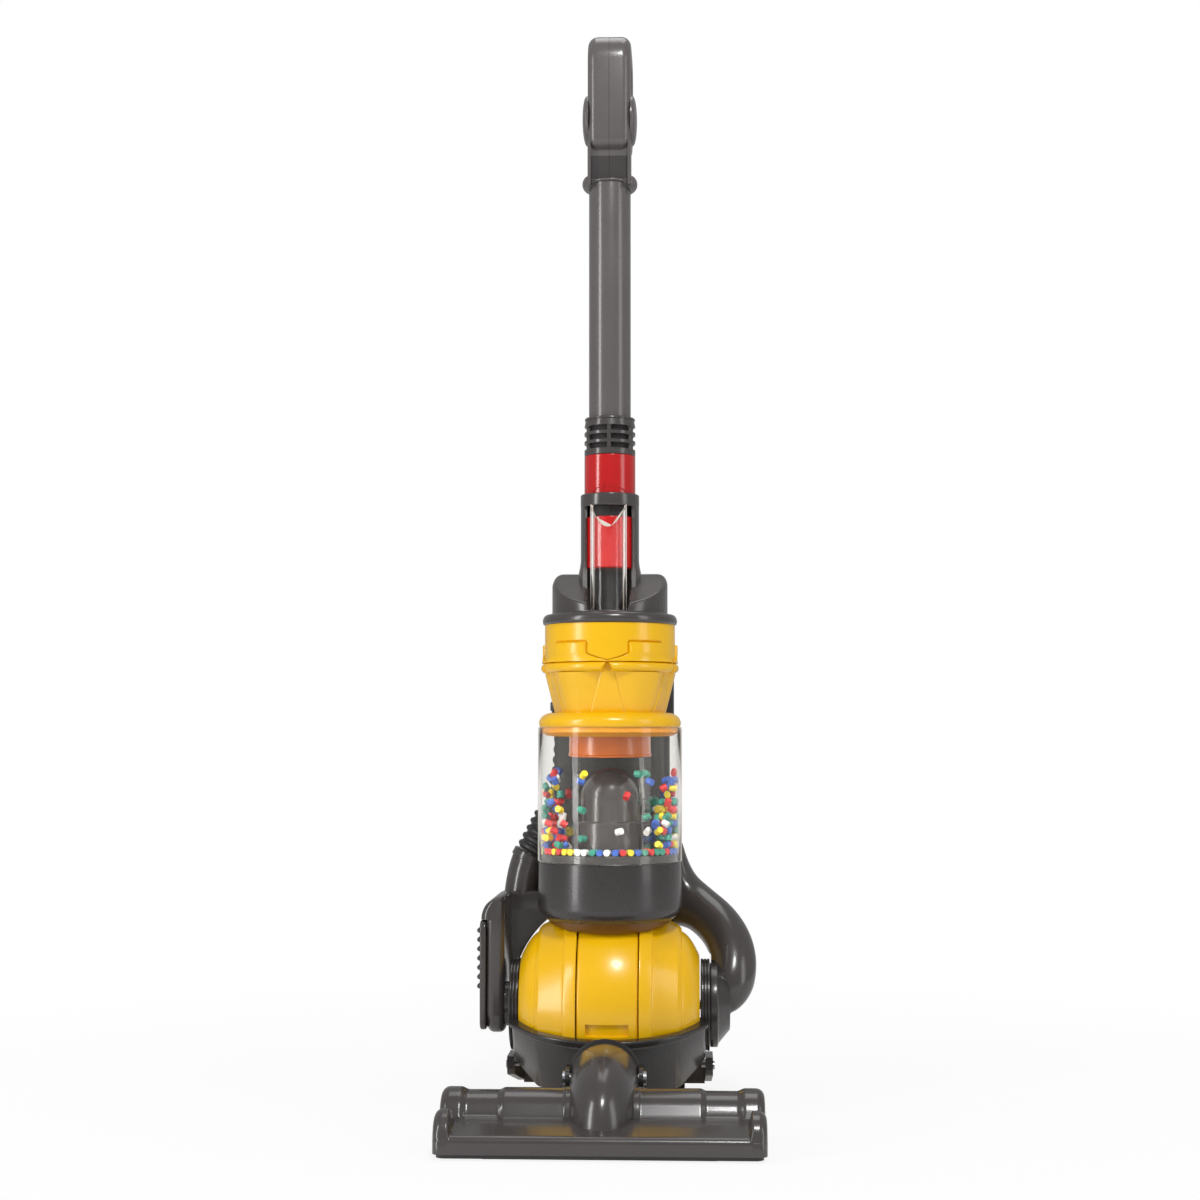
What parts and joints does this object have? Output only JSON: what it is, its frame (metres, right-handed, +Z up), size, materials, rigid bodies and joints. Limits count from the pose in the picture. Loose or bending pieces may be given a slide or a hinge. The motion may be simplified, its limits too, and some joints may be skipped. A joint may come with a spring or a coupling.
{
  "type": "toy vacuum cleaner",
  "caption": "Upright toy vacuum cleaner with a wide floor head, a yellow ball, a clear bin of loose beads, a yellow cyclone pack and a lift-out wand with a loop handle.",
  "frame": {"origin": "on the floor under the middle of the toy's box", "axes": "+Z up, the floor head points to -Y, +X to the right as seen from the front"},
  "size_m": [0.186, 0.244, 0.6791],
  "materials": {
    "grey_plastic": "gloss moulded",
    "dark_plastic": "gloss moulded",
    "yellow_plastic": "gloss moulded",
    "red_plastic": "gloss moulded",
    "clear_plastic": "clear moulded",
    "steel": "drawn",
    "cell_can": "printed can, bare of words",
    "hose_plastic": "soft moulded",
    "roller_plastic": "satin",
    "felt": "felt",
    "bead_blue": "satin",
    "bead_red": "satin",
    "bead_yellow": "satin",
    "bead_white": "satin",
    "bead_green": "satin",
    "board": "solder mask",
    "white_plastic": "moulded"
  },
  "bodies": {
    "yoke": {"yoke": "dark_plastic", "rear_stand": "dark_plastic", "stand_screws": "steel", "roller_axle": "steel"},
    "left_roller": {"left_roller": "roller_plastic"},
    "right_roller": {"right_roller": "roller_plastic"},
    "neck_collar": {"swivel_collar": "dark_plastic", "neck_pins": "steel"},
    "floor_head": {"head_top_shell": "grey_plastic", "sole_plate": "dark_plastic", "sole_felts": "felt", "head_screws": "steel", "neck_dome": "grey_plastic"},
    "ball": {"ball_left_shell": "yellow_plastic", "ball_right_shell": "yellow_plastic", "ball_band": "yellow_plastic"},
    "upright": {"axle": "steel", "ball_saddle": "yellow_plastic", "bin_base": "dark_plastic", "clear_bin": "clear_plastic", "bin_collar": "yellow_plastic", "bin_baffle": "yellow_plastic", "bin_dome": "grey_plastic", "blue_beads": "bead_blue", "red_beads": "bead_red", "yellow_beads": "bead_yellow", "white_beads": "bead_white", "green_beads": "bead_green", "motor": "steel", "cyclone_pack": "yellow_plastic", "shoulder_cap": "grey_plastic", "wand_cradle": "grey_plastic", "clear_duct": "clear_plastic", "right_duct": "grey_plastic", "hub_cone": "dark_plastic", "left_housing": "grey_plastic", "hose_elbow": "grey_plastic", "ribbed_hose": "hose_plastic", "hose_cuff": "dark_plastic", "spine_front": "dark_plastic", "spine_rear": "dark_plastic", "battery_door": "dark_plastic", "cells_pack": "cell_can", "battery_contacts": "steel", "circuit_board": "board", "speaker": "roller_plastic", "spine_screws": "steel"},
    "impeller": {"impeller": "white_plastic"},
    "side_cover": {"side_cover": "grey_plastic"},
    "power_button": {"power_button": "red_plastic"},
    "wand": {"red_tube": "red_plastic", "vent_collar": "grey_plastic", "wand_tube": "grey_plastic", "handle_left_shell": "grey_plastic", "handle_right_shell": "grey_plastic", "handle_ring": "grey_plastic", "handle_side_caps": "grey_plastic", "handle_screws": "steel"}
  },
  "joints": [
    {"name": "left_roller_spin", "type": "hinge", "parent": "yoke", "child": "left_roller", "pos_m": [0, 0.115, 0.006], "axis": [1, 0, 0], "continuous": true},
    {"name": "right_roller_spin", "type": "hinge", "parent": "yoke", "child": "right_roller", "pos_m": [0, 0.115, 0.006], "axis": [1, 0, 0], "continuous": true},
    {"name": "neck_swivel", "type": "hinge", "parent": "yoke", "child": "neck_collar", "pos_m": [0, -0.047, 0.034], "axis": [0, 1, 0], "range_deg": [-35, 35]},
    {"name": "head_pitch", "type": "hinge", "parent": "neck_collar", "child": "floor_head", "pos_m": [0, -0.047, 0.034], "axis": [1, 0, 0], "range_deg": [-20, 8]},
    {"name": "recline", "type": "hinge", "parent": "yoke", "child": "upright", "pos_m": [0, 0.047, 0.065], "axis": [-1, 0, 0], "range_deg": [0, 55]},
    {"name": "ball_roll", "type": "hinge", "parent": "upright", "child": "ball", "pos_m": [0, 0.047, 0.065], "axis": [1, 0, 0], "continuous": true},
    {"name": "impeller_spin", "type": "hinge", "parent": "upright", "child": "impeller", "pos_m": [0, 0.035, 0.17], "axis": [0, 0, 1], "continuous": true},
    {"name": "side_cover_pull", "type": "slide", "parent": "upright", "child": "side_cover", "axis": [-1, 0, 0], "range_m": [0, 0.015]},
    {"name": "power_press", "type": "slide", "parent": "upright", "child": "power_button", "axis": [0, -1, 0], "range_m": [0, 0.002], "stiffness_N_per_m": 400},
    {"name": "wand_lift", "type": "slide", "parent": "upright", "child": "wand", "axis": [0, 0, 1], "range_m": [0, 0.06]}
  ]
}
